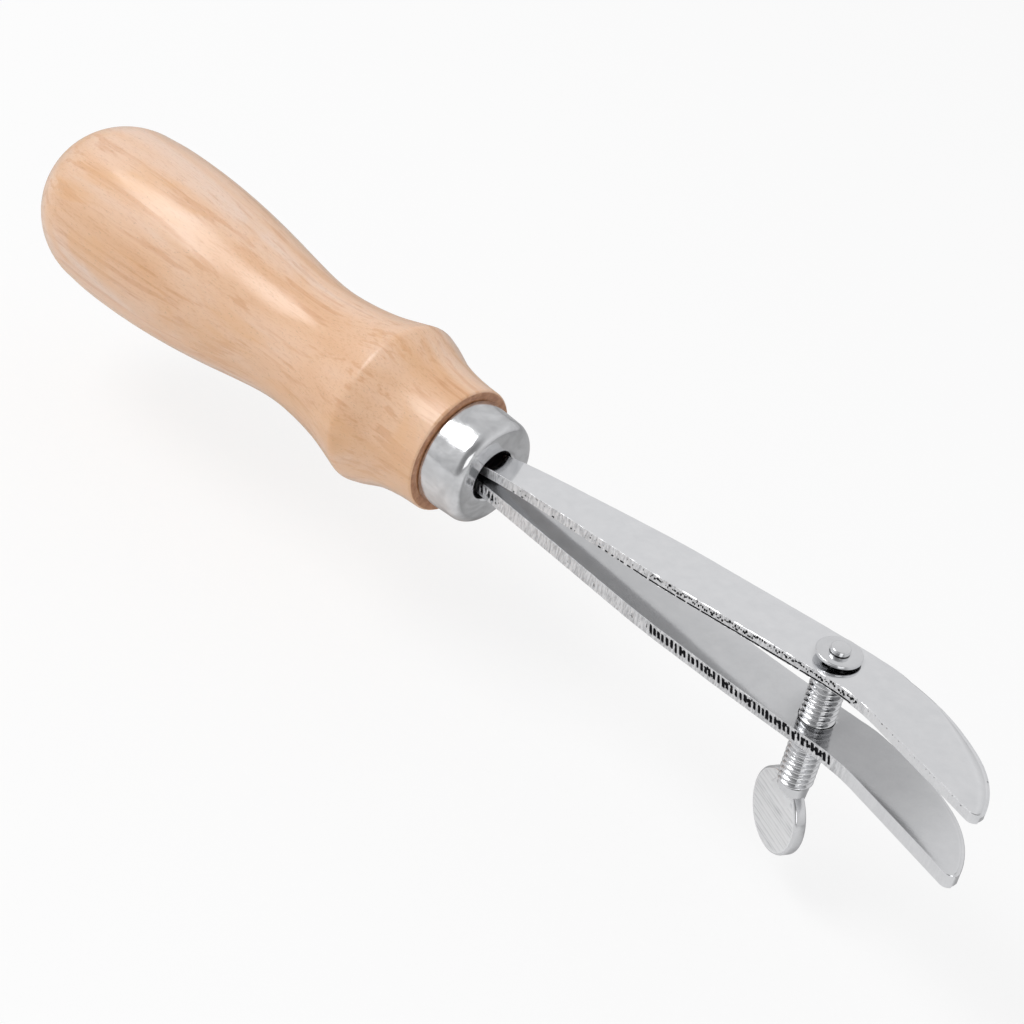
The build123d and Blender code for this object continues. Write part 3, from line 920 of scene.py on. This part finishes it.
# ---------------------------------------------------------------- floor, light and camera
def build_floor():
    """Pale flat floor, clear of the screw when it is right down: nearly white to the camera."""
    s = Shader("floor")
    rays = s.add("ShaderNodeLightPath")
    split = s.add("ShaderNodeSeparateXYZ")
    s.feed(split.inputs[0], s.place)
    # painted shade: seen only in reflections, the floor's colour darkens from 0.88 to 0.54 towards +Y
    side = s.math("ADD", s.math("MULTIPLY", split.outputs["Y"], 25.0), 0.5)
    s.set(
        Base_Color=s.ramp(side, (0.35, 0.88), (0.95, 0.54)),
        Roughness=0.9,
        Specular_IOR_Level=0.1,
    )
    glow = s.add("ShaderNodeEmission")
    glow.inputs["Color"].default_value = (1.0, 1.0, 1.0, 1)
    glow.inputs["Strength"].default_value = 0.78
    both = s.add("ShaderNodeAddShader")
    pale = s.add("ShaderNodeBsdfDiffuse")
    pale.inputs["Color"].default_value = (0.22, 0.22, 0.22, 1)
    s.feed(both.inputs[0], glow.outputs[0])
    s.feed(both.inputs[1], pale.outputs[0])
    choose = s.add("ShaderNodeMixShader")
    s.feed(choose.inputs[0], rays.outputs["Is Camera Ray"])
    s.feed(choose.inputs[1], s.bsdf.outputs[0])
    s.feed(choose.inputs[2], both.outputs[0])
    s.feed(s.tree.nodes["Material Output"].inputs["Surface"], choose.outputs[0])
    size = 3.0
    z = cad_box[0].z - SCREW_DROP - 0.4 * MM
    corners = [(-size, -size, z), (size, -size, z), (size, size, z), (-size, size, z)]
    floor = new_piece("floor", corners, [(0, 1, 2, 3)])
    floor.data.materials.append(s.material)


def build_world():
    """White surroundings, a little dimmer low down and overhead, and dimmest towards the viewer."""
    world = bpy.data.worlds.new("studio")
    world.use_nodes = True
    tree = world.node_tree
    shade = tree.nodes["Background"]
    coord = tree.nodes.new("ShaderNodeTexCoord")
    split = tree.nodes.new("ShaderNodeSeparateXYZ")
    tree.links.new(coord.outputs["Generated"], split.inputs[0])
    ramp = tree.nodes.new("ShaderNodeValToRGB")
    tree.links.new(split.outputs["Z"], ramp.inputs["Fac"])
    elements = ramp.color_ramp.elements
    elements.new(0.5)
    for element, (place, grey) in zip(elements, ((0.0, 0.62), (0.45, 0.80), (1.0, 0.62))):
        element.position = place
        element.color = (grey, grey, grey * 1.01, 1)
    side = tree.nodes.new("ShaderNodeVectorMath")
    side.operation = "DOT_PRODUCT"
    tree.links.new(coord.outputs["Generated"], side.inputs[0])
    side.inputs[1].default_value = (0.47, -0.67, 0.57)
    dim = tree.nodes.new("ShaderNodeMapRange")
    dim.interpolation_type = "SMOOTHSTEP"
    tree.links.new(side.outputs["Value"], dim.inputs["Value"])
    for socket, value in zip(dim.inputs[1:5], (0.60, 0.97, 1.0, 0.38)):
        socket.default_value = value
    scale = tree.nodes.new("ShaderNodeVectorMath")
    scale.operation = "SCALE"
    tree.links.new(ramp.outputs["Color"], scale.inputs[0])
    tree.links.new(dim.outputs["Result"], scale.inputs["Scale"])
    tree.links.new(scale.outputs["Vector"], shade.inputs["Color"])
    shade.inputs["Strength"].default_value = 0.93
    bpy.context.scene.world = world


def build_light(name, place, target, size, power):
    """A soft rectangular light at a place, aimed at the target."""
    data = bpy.data.lights.new(name, "AREA")
    data.shape = "RECTANGLE"
    data.size, data.size_y = size
    data.energy = power
    light = bpy.data.objects.new(name, data)
    light.location = place
    light.rotation_mode = "QUATERNION"
    light.rotation_quaternion = (Vector(target) - Vector(place)).to_track_quat("-Z", "Y")
    bpy.context.scene.collection.objects.link(light)


def build_camera():
    """Camera at the view's own angles: it looks down on the tool from its near side."""
    azimuth, elevation, roll = radians(35.21), radians(35.11), radians(13.87)
    distance = 388.0 * MM
    back = Vector((
        sin(azimuth) * cos(elevation),
        -cos(azimuth) * cos(elevation),
        sin(elevation),
    ))
    level = Vector((cos(azimuth), sin(azimuth), 0))
    upright = back.cross(level)
    right = level * cos(roll) + upright * sin(roll)
    up = upright * cos(roll) - level * sin(roll)
    aim = Vector((32.3 * MM, 0, 0)) - right * 20.32 * MM + up * 11.21 * MM
    data = bpy.data.cameras.new("camera")
    data.sensor_width = 36.0
    data.lens = 91.04
    camera = bpy.data.objects.new("camera", data)
    camera.matrix_world = Matrix((
        (right.x, up.x, back.x, 0),
        (right.y, up.y, back.y, 0),
        (right.z, up.z, back.z, 0),
        (0, 0, 0, 1),
    ))
    camera.location = aim + back * distance
    data.clip_start, data.clip_end = 0.01, 20
    bpy.context.scene.collection.objects.link(camera)
    bpy.context.scene.camera = camera


build_floor()
build_world()
build_light("key", (-0.42, -0.30, 0.72), (0, 0, 0), (0.5, 0.35), 2.8)
build_light("side", (0.65, -0.45, 0.30), (0, 0, 0), (0.4, 0.4), 0.6)
build_camera()
bpy.context.scene.view_settings.view_transform = "Standard"
